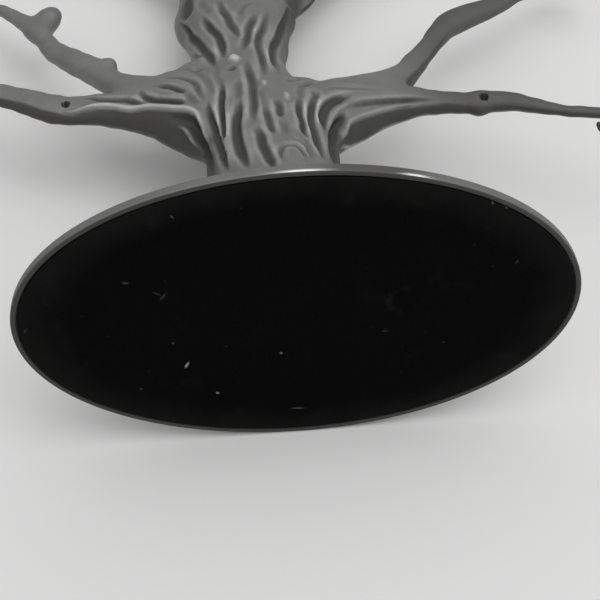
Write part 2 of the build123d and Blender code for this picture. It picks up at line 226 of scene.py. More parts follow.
metal = cast_metal()
corner = np.radians(np.linspace(0, 90, 7))
recess = BASE - RIM_WIDTH
top = BASE - BEVEL_RUN
plate_profile = np.vstack([
    disc_rows([0.3, 0.7, 0.97, 1.0], RECESS_FLOOR, recess),
    ring_rows(*INNER_RIM.T),
    ring_rows(RIM_ROUND - RIM_ROUND * np.sin(corner), RIM_BOTTOM + RIM_ROUND - RIM_ROUND * np.cos(corner)),
    ring_rows(*EDGE_AND_BEVEL.T),
    disc_rows([0.9, 0.6, 0.3], FOOT, top),
])
points, faces = oval_shell(plate_profile, PLATE_TURNS)
plate = make_piece("base_plate_casting", points, faces, metal, "base_plate")
reach = np.hypot(points[:, 0] / BASE[0], points[:, 1] / BASE[1])
around = np.degrees(np.arctan2(points[:, 1] / BASE[1], points[:, 0] / BASE[0]))
# Painted shade on the rim's outer side and on its downward face
edge_shade = np.interp(around, *RIM_SHADE.T)
on_bottom = points[:, 2] < 0.45
store(plate, "groove_and_shade", np.where(on_bottom, RIM_BOTTOM_SHADE, edge_shade) * (reach > 0.95))
# Painted highlights on the rim's lower corner
glint = np.exp(-((around - GLINTS[:, None]) / GLINT_SPREAD[:, None]) ** 2).max(0)
on_corner = (points[:, 2] > 0.5) & (points[:, 2] < 1.5) & (reach > 0.985)
store(plate, "wear_and_glint", GLINT_BRIGHTNESS * glint * on_corner)


# Felt pad: black flocked felt, cut to an oval and glued into the recess, where it stands a
# little proud of the rim. Its face carries lint, dust and a faint ring from handling.

FELT_INSET, FELT_TOP, FELT_ROUND = 1.85, 1.3, 0.4
FELT = BASE - FELT_INSET
FELT_TURNS = 300

# Faint ring mark: its middle and its radius, in metres
RING_MIDDLE, RING_RADIUS = (0.0286, -0.001, 0), 0.0042

# Flecks of lint: place on the felt, half length and half width in millimetres, direction in degrees, and
# brightness
FLECKS = (
    (-30.8, 16.1, 1.3, 0.45, -60, 0.9), (-5.1, 14.3, 0.5, 0.45, 0, 0.42), (-1.4, 35.1, 2.4, 0.3, 5, 0.19),
    (-23.2, 27.1, 0.6, 0.4, 20, 0.73), (-33.8, 7.9, 0.4, 0.35, 0, 0.28), (-30.3, -33.7, 0.6, 0.3, 60, 0.27),
    (51.0, -30.7, 0.5, 0.3, 80, 0.25), (54.9, -29.1, 0.7, 0.35, -30, 0.45), (23.2, 9.2, 1.1, 0.3, 8, 0.1),
    (-44.3, -13.7, 1.0, 0.4, 10, 0.15), (-35.0, -8.2, 1.6, 0.4, -50, 0.1), (-36.5, -9.4, 1.4, 0.3, 30, 0.1),
    (58.1, -11.1, 0.9, 0.35, -60, 0.08), (-72.2, -0.1, 0.8, 0.35, -50, 0.12),
    (-44.0, 23.5, 0.5, 0.35, 0, 0.16),
)


def felt():
    """Black felt: a soft fibrous nap, dustier towards the edge, with flecks of lint and a faint ring mark."""
    material, tree, place = new_material("felt")
    fibre = place.noise(2600, 4, 0.7)
    patch = place.noise(75, 5, 0.65)
    flat = tree.add("ShaderNodeVectorMath", {"operation": "MULTIPLY"}, {0: place, 1: (*(1000 / FELT), 0)})
    out = tree.add("ShaderNodeVectorMath", {"operation": "LENGTH"}, {0: flat}, 1)
    dusty = (out + (patch - 0.5) * 0.25).step(0.8, 1.02) * 0.75 + patch.step(0.55, 0.8) * 0.35
    lint = place.noise(420, 2).step(0.74, 0.8) * 0.12
    for x, y, half_length, half_width, degrees, brightness in FLECKS:
        turned = tree.add("ShaderNodeMapping", {"vector_type": "TEXTURE"}, {
            "Vector": place, "Location": (x / 1000, y / 1000, 0), "Rotation": (0, 0, np.radians(degrees)),
            "Scale": (half_length / 1000, half_width / 1000, 1)})
        off = tree.add("ShaderNodeVectorMath", {"operation": "LENGTH"}, {0: turned}, 1)
        lint = lint + (1 - (off + (fibre - 0.5) * 1.2).step(0.5, 1.1)) * brightness
    offset = tree.add("ShaderNodeVectorMath", {"operation": "DISTANCE"}, {0: place, 1: RING_MIDDLE}, 1)
    ring = (1 - abs(offset - RING_RADIUS).step(0.0004, 0.0014)) * patch.step(0.4, 0.7)
    tone = (fibre.step(0.3, 0.8) * 0.35 + dusty * 0.65).mix(grey(0.0009), grey(0.014, 0.03))
    tone = (lint + ring * 0.03).mix(tone, grey(0.3))
    nap = tree.add("ShaderNodeBump", {}, {"Strength": 0.6, "Distance": 0.0004, "Height": fibre})
    surface(tree, {"Base Color": tone, "Roughness": 0.95, "Specular IOR Level": 0.05, "Normal": nap})
    return material


felt_profile = np.vstack([
    disc_rows([0.1, 0.3, 0.5, 0.7, 0.85, 0.94, 0.98], 0.0, FELT),
    ring_rows(FELT_ROUND - FELT_ROUND * np.sin(corner), FELT_ROUND - FELT_ROUND * np.cos(corner), FELT),
    ring_rows([0.0, 0.0], [0.8, FELT_TOP], FELT),
    disc_rows([0.9, 0.5, 0.2], FELT_TOP, FELT),
])
points, faces = oval_shell(felt_profile, FELT_TURNS)
pad = make_piece("felt_pad_sheet", points, faces, felt(), "felt_pad")
felt_area = float(np.pi * FELT.prod() / 1e6)


# Base screws: two countersunk zinc-plated screws that sit flush under the felt and run up
# through the plate into the trunk. They are out of sight and keep their drawn shape.

def screw_steel():
    """Zinc-plated steel with faint streaks."""
    material, tree, place = new_material("screw_steel")
    streak = place.noise(700, 3)
    tone = streak.mix(grey(0.45), grey(0.62))
    surface(tree, {"Base Color": tone, "Roughness": 0.25 + streak * 0.2, "Metallic": 1.0})
    return material


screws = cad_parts["base_screws"]
screws.data.materials.clear()
screws.data.materials.append(screw_steel())


# Lower trunk: the main casting, from the surface roots to the waist, with the stubs of the four
# lower limbs. Its front and back carry long bark grooves that run on from the trunk into the limbs.

# Stations along each limb: x, y, height above the plate, half width and half depth
TRUNK = np.array([
    (-1.5, 0, -4, 26.5, 19.4), (-1.5, 0, 0, 26.0, 19.0), (-1.9, 0, 14, 22.2, 16.5),
    (-2.5, 0, 34, 20.2, 14.5), (-2.6, 0, 54, 19.6, 13.5), (-2.9, 0, 69, 19.9, 13.0),
    (-5.0, 0, 84, 18.5, 12.6), (-8.5, 0, 99, 16.5, 12.2), (-10.6, 0, 112, 15.2, 11.6),
    (-10.7, 0, 120, 15.0, 11.2), (-10.2, 0, 129, 15.8, 11.0), (-10.2, 0, 139, 16.9, 10.8),
    (-10.9, 0, 150, 19.8, 10.2), (-9.5, 0, 160, 9.0, 6.5)])
LEFT_LIMB = np.array([
    (-8, 0, 88, 15.0, 11.0), (-18, 0, 89, 16.6, 10.6), (-28, 0, 93.3, 13.6, 9.3),
    (-38, 0, 97.2, 9.9, 7.0), (-48, 0, 99.4, 7.8, 5.2), (-57, 0, 100.7, 6.3, 4.1),
    (-66, 0, 101.4, 6.1, 3.5), (-72, 0, 104, 5.8, 3.5), (-79, 0, 108.5, 5.2, 3.1),
    (-86, 0, 112.6, 4.6, 3.0), (-94, -0.5, 116.2, 4.0, 2.8), (-102, -1.5, 117.8, 3.0, 2.4),
    (-108, -2.5, 117.4, 2.2, 1.9)])
LEFT_FORK = np.array([
    (-20, 0, 94, 13.0, 9.0), (-30, 0, 103, 12.5, 8.2), (-39.5, 0, 106.2, 7.9, 6.4),
    (-50.4, 0, 114.6, 4.8, 4.2), (-57.5, 0, 124, 5.2, 4.0), (-65.3, 0, 131.7, 4.7, 3.5),
    (-70.5, 0, 137.5, 4.2, 3.0), (-74.3, 0, 144, 3.5, 2.6), (-79.5, 0, 154, 3.4, 2.5),
    (-87.5, 0.5, 166.2, 2.7, 2.1), (-96, 2.0, 176.3, 1.9, 1.7), (-104, 4.0, 182.5, 1.8, 1.65)])
RIGHT_LIMB = np.array([
    (2, 0, 83, 15.0, 11.0), (12, 0, 86, 14.8, 10.4), (22, 0, 89.2, 12.4, 8.8), (32, 0, 91.5, 9.2, 6.8),
    (41, 0, 92, 6.5, 4.8), (50, 0, 90.9, 4.5, 3.4), (58, 0, 89.6, 4.0, 3.0), (64.5, 0, 89.4, 4.3, 3.2),
    (72, 0, 88.8, 3.6, 2.8), (78, 0, 86.3, 3.0, 2.4), (84, 0, 83.2, 2.2, 1.9), (90, 0, 80.7, 1.85, 1.65),
    (96, 0, 79.3, 1.9, 1.75), (103.5, -0.3, 76.6, 1.75, 1.65)])
RIGHT_FORK = np.array([
    (14, 0, 87.0, 8.0, 7.6), (24, 0, 94, 8.8, 7.4), (33.7, 0, 100.5, 7.1, 5.8),
    (41.3, 0, 107.4, 4.7, 4.0), (46.5, 0, 115.7, 4.2, 3.2), (51.8, 0, 124.4, 3.5, 2.7),
    (56.3, 0, 132.6, 4.1, 3.0), (61, 0, 138.8, 5.0, 3.6), (68, 0, 143.6, 4.9, 3.55),
    (77.5, 0, 148.9, 3.8, 2.8), (87, 0.5, 156.7, 3.0, 2.3), (95.5, 2.0, 163.5, 2.5, 2.0),
    (102, 4.0, 170.5, 2.0, 1.8)])
LEFT_CROWN = np.array([
    (-13.5, 0, 130, 10.0, 10.2), (-16.8, 0, 146, 12.2, 10.2), (-18.5, 0, 159, 11.4, 9.6),
    (-20.5, 0, 171, 9.6, 8.6), (-24.5, 0, 182, 7.8, 7.2), (-31, 0, 192, 6.2, 5.8),
    (-39.5, -1, 200.5, 5.2, 4.6), (-49, -2.5, 207, 4.4, 3.8), (-58, -4.5, 214, 3.5, 3.0),
    (-65, -6.5, 222.5, 2.7, 2.3), (-71, -8.0, 230, 2.1, 1.9)])
RIGHT_CROWN = np.array([
    (-7, 0, 130, 10.2, 10.2), (-4.2, 0, 146, 10.4, 10.0), (1.4, 0, 159, 9.4, 9.2),
    (9.5, 0, 170, 8.4, 8.0), (16.5, 0, 180, 7.4, 7.0), (25, 0, 188.5, 6.0, 5.6), (35, 1, 194.5, 5.0, 4.4),
    (45, 2.5, 199.5, 4.2, 3.6), (54, 4.5, 206.5, 3.4, 2.9), (61, 6, 215, 2.6, 2.2),
    (67, 7, 222, 2.1, 1.9)])

# Steps of a smooth path from one station to the next
PER_SPAN = 8

# The lower limbs with the number of the station at their seam, and the height of the trunk's waist
SEAMS = {"left_limb": (LEFT_LIMB, 5), "left_fork": (LEFT_FORK, 4), "right_limb": (RIGHT_LIMB, 5),
         "right_fork": (RIGHT_FORK, 4)}
WAIST = FOOT + 120

# Where the lower trunk's own part of the crown ends, and how far its foot sinks into the plate
CROWN_STUBS = ((LEFT_CROWN, 2), (RIGHT_CROWN, 2))
FOOT_SINK = 0.8

# Surface roots: distance from the middle where they start, margin to the edge of the plate's top and depth
# far from them, then direction in degrees and shortfall of each, then the profile from trunk to tip with
# the share of the reach, the height of the middle, the half width and the half depth
ROOT_START, ROOT_MARGIN, FAR_OUTSIDE = 8.0, 5.0, -50.0
ROOTS = ((0, 8), (38, 3), (78, 1), (128, 2), (180, 6), (222, 4), (262, 2), (318, 5))
ROOT_PROFILE = np.array([(0.0, 24.0, 12.5, 12.0), (0.25, 12.0, 10.5, 10.0), (0.5, 5.5, 8.2, 8.0),
                         (0.75, 2.2, 5.4, 5.0), (1.0, 0.2, 2.4, 2.2)])

# Small lumps on the lower trunk: middle and radius
THORN = (-52.4, -2.4, 130.6, 1.4)
SHOULDERS = ((-26, -3, 118.5, 3.9), (9, -3, 103, 4.5))

# Two long ribbons of bark that run down from the lowest limbs: across the tree and above the plate
LEFT_RIBBON = ((-67, 97.5), (-64, 96.5), (-60, 97), (-55.5, 97), (-50.5, 95.5), (-45.5, 93),
               (-40, 91.5), (-33.5, 87.5), (-27.5, 84), (-24.5, 81), (-23.5, 77.5), (-22.5, 74),
               (-21, 68.5), (-20, 60))
RIGHT_RIBBON = ((16.5, 62.5), (18, 71.5), (19.5, 73.5), (21.5, 76.5), (25, 79), (30, 82), (35, 84.5),
                (39.5, 86.5), (46.5, 87.5))

# Upper edges of the painted shade under the limbs, which go on from the ribbons along the outer limbs
LEFT_EDGE = ((-108, 116), (-97, 114), (-87, 110), (-80, 106), (-73, 100.5)) + LEFT_RIBBON
RIGHT_EDGE = RIGHT_RIBBON + ((52.5, 88.5), (61, 86.5), (69.5, 86), (75.5, 85), (87, 81), (103, 76))

# Bark lines of the front: half width and depth, then the places that each one runs through, across the
# tree and above the plate. One with a negative depth is a raised ridge.
GROOVES = (
    (0.7, 0.9, ((-36.5, 106.5), (-32.5, 104.5), (-29.5, 103), (-27, 100.5), (-24.5, 95.5), (-23.5, 90),
        (-22, 86))),
    (0.8, 1.3, ((-38, 102), (-34.5, 99), (-31.5, 96.5), (-29.5, 94), (-27.5, 92))),
    (0.9, 1.5, ((-43, 101), (-41, 97), (-39, 94.5), (-36, 92), (-32, 89.5), (-29.5, 88), (-28, 86.5))),
    (0.8, 1.2, ((-62, 103.5), (-58.5, 102), (-55.5, 100.5), (-51.5, 99), (-47.5, 97.5), (-44.5, 95.5),
        (-42.5, 94), (-40.5, 92.5))),
    (0.8, 0.6, ((-27.5, 92), (-26.5, 89.5), (-24.5, 87))),
    (0.9, 1.5, ((-21.5, 85), (-21, 81), (-20, 75.5), (-19, 69), (-18, 61), (-17, 53), (-16, 46))),
    (0.75, 1.7, ((-16.5, 95), (-16.5, 87.5), (-17, 81), (-17, 74.5), (-17, 68.5), (-17, 63.5))),
    (0.5, 0.5, ((-18.5, 106.5), (-18, 102), (-17.5, 96), (-17, 92))),
    (1.4, 1.7, ((-11.5, 82.5), (-12, 76.5), (-13, 70.5), (-13, 63.5), (-12.5, 57), (-11.5, 51), (-10, 42.5))),
    (0.9, 0.7, ((-11.5, 93.5), (-11.5, 87), (-11.5, 81.5))),
    (1.1, 1.1, ((-8.5, 107), (-8, 100.5), (-7.5, 95.5), (-7, 89.5), (-7, 83.5), (-7, 78), (-7.5, 72.5),
        (-7.5, 66.5))),
    (1.2, 1.4, ((-7.5, 65.5), (-6, 60.5), (-5.5, 54.5), (-4.5, 49.5), (-3.5, 45), (-3, 40.5))),
    (0.8, 1.1, ((-4, 77), (-3.5, 72), (-3, 67.5), (-2.5, 63), (-1.5, 59.5))),
    (0.7, 0.5, ((-5, 87), (-4.5, 81.5), (-3.5, 74))),
    (0.9, 1.1, ((-0.5, 80.5), (0.5, 76.5), (0.5, 72.5), (0.5, 69))),
    (1.1, 0.6, ((1, 68.5), (1.5, 64), (2, 59))),
    (0.9, 1.4, ((7, 82.5), (6.5, 77.5), (6.5, 73), (7, 68.5), (7, 63.5), (8, 59))),
    (0.8, 0.6, ((8.5, 92.5), (7.5, 86), (7, 80))),
    (1.1, 1.4, ((12, 85.5), (11, 80), (10, 74), (10, 67.5), (10.5, 61.5), (11, 56), (12, 49.5))),
    (0.8, 0.8, ((8.5, 88.5), (10, 92), (11.5, 94.5))),
    (1.4, 1.6, ((23, 86), (20, 84), (17.5, 82), (15.5, 80), (14, 77), (13.5, 73.5), (13.5, 68))),
    (1.4, 1.6, ((20.5, 78), (19, 76), (17.5, 73.5), (16, 69.5), (15.5, 63.5), (15, 58.5), (15, 52))),
    (0.8, 1, ((21.5, 79.5), (24.5, 82), (28.5, 84), (32.5, 85.5), (37.5, 87), (42.5, 88), (48.5, 88.5))),
    (0.5, 1.0, ((0.5, 44), (-0.5, 47), (-0.5, 50.5), (0.5, 53), (2.5, 54), (4, 53.5), (5.5, 52), (6.5, 48),
        (6.5, 44))),
    (0.5, 0.8, ((3, 58), (5, 57), (7, 55), (8, 51), (8.5, 45.5))),
    (0.5, 0.6, ((5.5, 59), (7.5, 57), (8.5, 53.5), (9.5, 48))),
    (1.4, 1.5, ((-33, 84.5), (-30, 82), (-27.5, 80), (-25.5, 77.5), (-24.5, 75), (-23, 71), (-21.5, 63.5),
        (-20.5, 54))),
    (0.6, -0.9, ((-31.5, 81), (-28.5, 78.5), (-27, 76.5), (-26, 75), (-24.5, 73), (-23, 69))),
    (0.9, -1.15, LEFT_RIBBON),
    (0.7, -0.6, ((14, 66.5), (15, 72), (16.5, 76), (18.5, 79), (21.5, 81.5), (24, 83))),
    (0.6, -0.7, RIGHT_RIBBON),
    (2.4, 1.3, ((-27, 160.5), (-27, 152.5), (-27, 146.5), (-27.5, 142.5))),
    (1.2, 1.3, ((-29.5, 144.5), (-27.5, 139.5), (-26, 134), (-24, 128.5), (-22, 121), (-20, 113.5),
        (-19, 109), (-18, 104))),
    (1.1, 1.4, ((-22, 139), (-20.5, 134.5), (-19, 129.5), (-17, 124.5), (-16, 119.5), (-15.5, 113.5),
        (-15.5, 108))),
    (1.1, 1.1, ((-16, 148), (-15, 140.5), (-13.5, 135), (-12.5, 129.5), (-11, 125), (-10, 120.5))),
    (1.1, 1.1, ((-3.5, 136.5), (-5, 131.5), (-6.5, 126.5), (-7, 122), (-8, 117), (-9.5, 110))),
    (1.1, 1.1, ((1, 141.5), (-0.5, 134.5), (-2, 127), (-3.5, 122.5), (-4, 118), (-3.5, 112.5), (-3, 105.5),
        (-3, 99), (-3, 92.5))),
    (1.2, 1.3, ((7.5, 149.5), (6, 141.5), (4, 132.5), (2.5, 125.5), (1, 120), (0.5, 112.5), (0.5, 105.5),
        (1, 102))),
    (0.9, 0.5, ((1.5, 111.5), (1.5, 102.5), (1.5, 95))),
    (0.9, 0.6, ((-9, 132.5), (-8.5, 138), (-7, 141.5), (-4, 144))),
    (1.1, 0.5, ((-21.5, 151), (-21.5, 145.5), (-20, 142), (-18.5, 138.5))),
    (1.1, 1.0, ((-14.5, 102), (-13, 101), (-11.5, 101))),
    (0.5, 0.5, ((-26, 128.5), (-23.5, 119), (-20.5, 114))),
    (0.8, 0.5, ((-21.5, 102), (-21, 97), (-20, 92), (-19.5, 87))),
    (0.8, 0.9, ((4, 93), (5.5, 94.5), (7.5, 95.5))),
    (0.8, 0.9, ((12, 86.5), (12, 84), (12, 81.5))),
    (0.8, 0.6, ((-27.5, 90), (-26, 87), (-24, 85))),
    (0.5, 0.6, ((-35, 109.5), (-28.5, 110.5), (-25.5, 107.5), (-22.5, 101), (-21.5, 94.5))),
    (0.8, 0.6, ((-25, 109), (-23.5, 107), (-22, 105))),
    (0.6, 0.6, ((13.5, 86.5), (17.5, 88.5), (21.5, 89), (26.5, 89.5), (32.5, 90.5))),
    (0.6, 0.6, ((10.5, 90), (15.5, 93.5), (20, 94), (26, 93.5))),
)

# Bare bright chips on the front, given in the same way
CHIPS = (
    (1.5, -1.5, ((-13, 108), (-12, 106), (-11, 103.5))),
    (0.8, -1.0, ((-3.5, 90.5), (-3.5, 89), (-3.5, 87.5))),
    (0.9, -1.0, ((2.5, 83.5), (3, 81), (3, 79))),
)

# Castings: power of their squarish oval sections, and the span in millimetres over which limbs blend
SECTION_POWER = 2.1
BLEND = 3.5

# Bark: span each side of the surface in which it is worked out, height above or below the surface up to
# which a line counts, steps from one place of a line to the next, share of a line that tapers at each end,
# and half depth of tree that a line on the back needs
NEAR_SURFACE, LINE_LIFT, LINE_STEPS = 3.4, 3.0, 6
END_SHARE = 0.25
BACK_CLEARANCE = 4.2

# Fine grooves along a limb: half width and depth, and the path's rows from one of their places to the next
# and by which every other groove is shifted
FINE_HALF_WIDTH, FINE_DEPTH = 0.9, 0.8
ROW_STEP, ROW_SHIFT = 4, 5

# Finish: strength of the painted shade, how many millimetres of drop one of set-back counts for, strength
# of the painted shade on the outer right, share of the painted shade left off at the upper left, and reach
# and strength of the wear and painted highlight on the ribs, of which the painted shade hides a part
SHADE_STRENGTH, SHADE_LEAN, RIGHT_SHADE = 1.0, 1.5, 0.75
UPPER_SHADE_CUT = 0.75
RIB_REACH, RIB_WEAR_AND_HIGHLIGHT, RIB_HIDDEN = 2.0, 2.0, 0.7


def through(stations, per_span=PER_SPAN):
    """Rows of a smooth curve through the stations: each mixes the four nearest ones with cubic weights."""
    rows = np.vstack([2 * stations[0] - stations[1], stations, 2 * stations[-1] - stations[-2]])
    share = np.linspace(0, 1, per_span, endpoint=False)[None, :, None]
    a, b, c, d = (rows[i:len(rows) - 3 + i, None] for i in range(4))
    bend = (2 * a - 5 * b + 4 * c - d) * share**2
    twist = (3 * b - a - 3 * c + d) * share**3
    curve = 2 * b + (c - a) * share + bend + twist
    return np.vstack([curve.reshape(-1, stations.shape[1]) / 2, stations[-1]])


def smooth_rise(value, low, high):
    """0 below low, 1 above high and a smooth rise between them."""
    share = np.clip((value - low) / (high - low), 0, 1)
    return share * share * (3 - 2 * share)


def nearest(path, x, z):
    """For every (x, z), the gap to the nearest spot of a path, and the row of sizes at that spot."""
    gap = np.full(x.shape, np.inf)
    spot = np.zeros(x.shape + (path.shape[1],))
    for start, end in zip(path[:-1], path[1:]):
        run_x, run_z = end[0] - start[0], end[2] - start[2]
        share = np.clip(((x - start[0]) * run_x + (z - start[2]) * run_z) / (run_x**2 + run_z**2), 0, 1)
        distance = np.hypot(x - start[0] - share * run_x, z - start[2] - share * run_z)
        closer = distance < gap
        gap[closer] = distance[closer]
        spot[closer] = (start + share[..., None] * (end - start))[closer]
    return gap, spot


def limb_field(path, x, y, z):
    """Depth inside a limb, in millimetres: 1 less the distance from its middle line in half widths and half
    depths, added with the power of a squarish oval, times its lesser half size."""
    gap, spot = nearest(path, x, z)
    width, depth = spot[..., 3], spot[..., 4]
    across = (gap / width).astype(np.float32)[:, None, :] ** SECTION_POWER
    through_depth = np.abs((y[None, :, None] - spot[:, None, :, 1]) / depth[:, None, :]).astype(np.float32)
    reach = (across + through_depth**SECTION_POWER) ** (1 / SECTION_POWER)
    return (1 - reach) * np.minimum(width, depth).astype(np.float32)[:, None, :]


def blended(first, second):
    """The greater of two depths, rounded off where they are within the blend of each other."""
    overlap = np.maximum(BLEND - np.abs(first - second), 0) / BLEND
    return np.maximum(first, second) + overlap**2 * BLEND / 4


def nearest_on_line(line, spots):
    """For points in space, the nearest place of a line, and how far along the line it is, from 0 to 1."""
    gap = np.full(len(spots), np.inf)
    place = np.zeros(spots.shape)
    share_along = np.zeros(len(spots))
    for start, end in zip(line[:-1], line[1:]):
        run = end[:3] - start[:3]
        share = np.clip((spots - start[:3]) @ run / (run @ run), 0, 1)
        foot = start[:3] + share[:, None] * run
        distance = np.linalg.norm(spots - foot, axis=1)
        closer = distance < gap
        gap[closer] = distance[closer]
        place[closer] = foot[closer]
        share_along[closer] = (start[3] + share * (end[3] - start[3]))[closer]
    return place, share_along


def bark_depth(field, axes, pitch, grooves):
    """Depth that the bark takes off: points near the surface are brought onto it along the field's slope,
    and get the deepest of the grooves there, by their distance along the surface, less the highest of the
    ridges."""
    near = np.nonzero(np.abs(field) < NEAR_SURFACE)
    slope = np.stack([part[near] for part in np.gradient(field, pitch)], -1)
    steepness = np.maximum(np.linalg.norm(slope, axis=1), 0.5)[:, None]
    normal = slope / steepness
    near_spots = np.stack([axis[i] for axis, i in zip(axes, near)], -1)
    surface_spots = near_spots - normal * field[near][:, None] / steepness
    cut = np.zeros(len(surface_spots))
    raised = np.zeros(len(surface_spots))
    for half_width, depth, spots in grooves:
        line = through(np.column_stack([spots, np.linspace(0, 1, len(spots))]), LINE_STEPS)
        margin = 2 * half_width + 2
        boxed = ((surface_spots > spots.min(0) - margin) & (surface_spots < spots.max(0) + margin)).all(-1)
        inside = np.nonzero(boxed)[0]
        place, share = nearest_on_line(line, surface_spots[inside])
        offset = surface_spots[inside] - place
        above = (offset * normal[inside]).sum(-1)
        along = np.sqrt(np.maximum((offset**2).sum(-1) - above**2, 0))
        gap = along + np.maximum(np.abs(above) - LINE_LIFT, 0)
        taper = np.clip(np.minimum(share, 1 - share) / END_SHARE, 0.02, 1) ** 0.5
        shape = abs(depth) * taper * (1 - smooth_rise(gap / (half_width * taper), 0, 2))
        layer = cut if depth > 0 else raised
        layer[inside] = np.maximum(layer[inside], shape)
    bark = np.zeros(field.shape, np.float32)
    bark[near] = cut - raised
    return bark


def front_reach(x, height):
    """How far the smooth tree stands out in front of its middle plane: the first depth, from the front, that
    lies inside the blended limbs, or the one nearest to them at a place just outside."""
    depths = np.arange(-24, 0.1, 0.2)
    x, z = x[:, None], height[:, None] + FOOT
    total = limb_field(trunk_path, x, depths, z)
    for stations in (LEFT_LIMB, LEFT_FORK, RIGHT_LIMB, RIGHT_FORK, LEFT_CROWN, RIGHT_CROWN):
        total = blended(total, limb_field(raised_path(stations), x, depths, z))
    total = total[..., 0]
    held = total >= np.minimum(total.max(1, keepdims=True), 0)
    return -depths[held.argmax(1)]


def laid_lines(lines, side, clearance):
    """The lines laid on the tree's front (side -1) or back (side 1), where they clear its middle plane."""
    laid = []
    for half_width, depth, places in lines:
        x, height = np.array(places, float).T
        reach = front_reach(x, height)
        if reach.min() >= clearance:
            laid.append((half_width, depth, np.stack([x, side * reach, height + FOOT], -1)))
    return laid


def run_grooves(path, first, last, angles):
    """Fine grooves along a limb, from one row of its path to another, at these angles round it, with every
    other one shifted along so that they interleave."""
    made = []
    for number, angle in enumerate(np.radians(angles)):
        shift = ROW_SHIFT * (number % 2)
        rows = path[first + shift:last + shift:ROW_STEP]
        growth = np.gradient(rows[:, :3], axis=0)
        across = np.stack([growth[:, 2], 0 * growth[:, 2], -growth[:, 0]], -1)
        across = across / np.linalg.norm(across, axis=1)[:, None]
        power_sum = abs(np.cos(angle)) ** SECTION_POWER + abs(np.sin(angle)) ** SECTION_POWER
        round_off = power_sum ** (-1 / SECTION_POWER)
        spots = rows[:, :3] + across * (rows[:, 3:4] * np.cos(angle) * round_off)
        spots[:, 1] += rows[:, 4] * np.sin(angle) * round_off
        made.append((FINE_HALF_WIDTH, FINE_DEPTH, spots))
    return made


def mesh_from_field(field, corner_point, pitch):
    """Surface where a depth field is zero, as points in millimetres and outward quads."""
    grid = openvdb.FloatGrid(10.0)
    grid.copyFromArray(np.ascontiguousarray(-field, np.float32))
    grid.gridClass = "level set"
    spots, quads = grid.convertToQuads(0.0)
    return corner_point + spots * pitch, quads[:, ::-1]


def lattice(low, high, pitch):
    """The three axes of a cubic lattice over a box."""
    return [np.arange(a, b + pitch, pitch) for a, b in zip(low, high)]


def lumps(x, y, z):
    """Soft unevenness of the castings: a sum of slow waves along mixed directions."""
    x, y, z = x[:, None, None], y[None, :, None], z[None, None, :]
    wave = np.sin(0.42 * x + 0.27 * z + 0.4 * y) * np.sin(0.36 * z - 0.19 * x + 1.3)
    return (0.12 * wave + 0.05 * np.sin(0.83 * x - 0.61 * z + 0.6 * y + 0.7)).astype(np.float32)


def sample(values, place):
    """Values of a lattice at places between its points, mixed from the eight nearest ones."""
    cell = np.floor(place).astype(int)
    share = place - cell
    total = 0
    for side in np.ndindex(2, 2, 2):
        weight = np.where(side, share, 1 - share).prod(-1)
        total = total + weight * values[tuple((cell + side).T)]
    return total


def box_mean(values, reach):
    """Mean of a lattice over cubes of this many points to each side, by running sums along the three axes."""
    for axis in range(3):
        padding = [(reach + 1, reach) if i == axis else (0, 0) for i in range(3)]
        sums = np.moveaxis(np.cumsum(np.pad(values, padding), axis), axis, 0)
        values = np.moveaxis((sums[2 * reach + 1:] - sums[:-2 * reach - 1]) / (2 * reach + 1), 0, axis)
    return values


def painted_shade(spots, slope):
    """Share of painted shade: on what faces the side, less of it at the upper left, on what faces down, on
    the outer right, and on what lies below and behind the two edges."""
    inward = slope / np.linalg.norm(slope, axis=1)[:, None]
    aside = (1 - smooth_rise(np.abs(inward[:, 1]), 0.5, 0.9)) * smooth_rise(inward[:, 2], -0.4, 0)
    aside = aside * (1 - smooth_rise(inward[:, 2], 0.45, 0.75))
    x, height = spots[:, 0], spots[:, 2] - FOOT
    upper = smooth_rise(height, 100, 112) * (1 - smooth_rise(x, -1, 10))
    share = np.maximum(aside * (1 - UPPER_SHADE_CUT * upper), smooth_rise(inward[:, 2], 0.8, 0.97))
    share = np.maximum(share, RIGHT_SHADE * smooth_rise(x, 25, 60))
    for edge in (LEFT_EDGE, RIGHT_EDGE):
        edge_x, edge_height = np.array(edge, float).T
        edge_reach = front_reach(edge_x, edge_height)
        drop = np.interp(x, edge_x, edge_height) - height
        set_back = np.interp(x, edge_x, edge_reach) - np.abs(spots[:, 1])
        below = smooth_rise(drop + SHADE_LEAN * set_back, 0.5, 3) * smooth_rise(height, 30, 50)
        share = np.maximum(share, below * (x > edge_x[0]) * (x < edge_x[-1]))
    return share


def tree_piece(node, depth, axes, pitch, grooves):
    """Casting whose surface is where the depth, less its bark and unevenness, is zero. Two attributes are
    kept:
    the bark's depth with painted shade, and the wear of its ridges and the painted highlight of its ribs."""
    bark = bark_depth(depth, axes, pitch, grooves)
    corner_point = np.array([axis[0] for axis in axes])
    spots, quads = mesh_from_field(depth - bark - lumps(*axes), corner_point, pitch)
    item = make_piece(node + "_casting", spots, [quads], metal, node)
    place = (spots - corner_point) / pitch
    deep = sample(bark, place)
    slope = np.stack([sample(part, place) for part in np.gradient(depth, pitch)], -1)
    # Painted shade on the sides, the undersides and the outer right joins the grooves' patina
    dark = painted_shade(spots, slope)
    store(item, "groove_and_shade", np.clip(deep, 0, 2) + SHADE_STRENGTH * dark)
    # Wear on the ribs between grooves together with a painted highlight, less of it under painted shade
    rib = sample(box_mean(bark, round(RIB_REACH / pitch)), place) - np.maximum(deep, 0)
    rib_wear_and_highlight = RIB_WEAR_AND_HIGHLIGHT * np.minimum(rib, 0.5) * (1 - RIB_HIDDEN * dark)
    store(item, "wear_and_glint", np.clip(np.maximum(-deep, rib_wear_and_highlight), 0, 1.3))


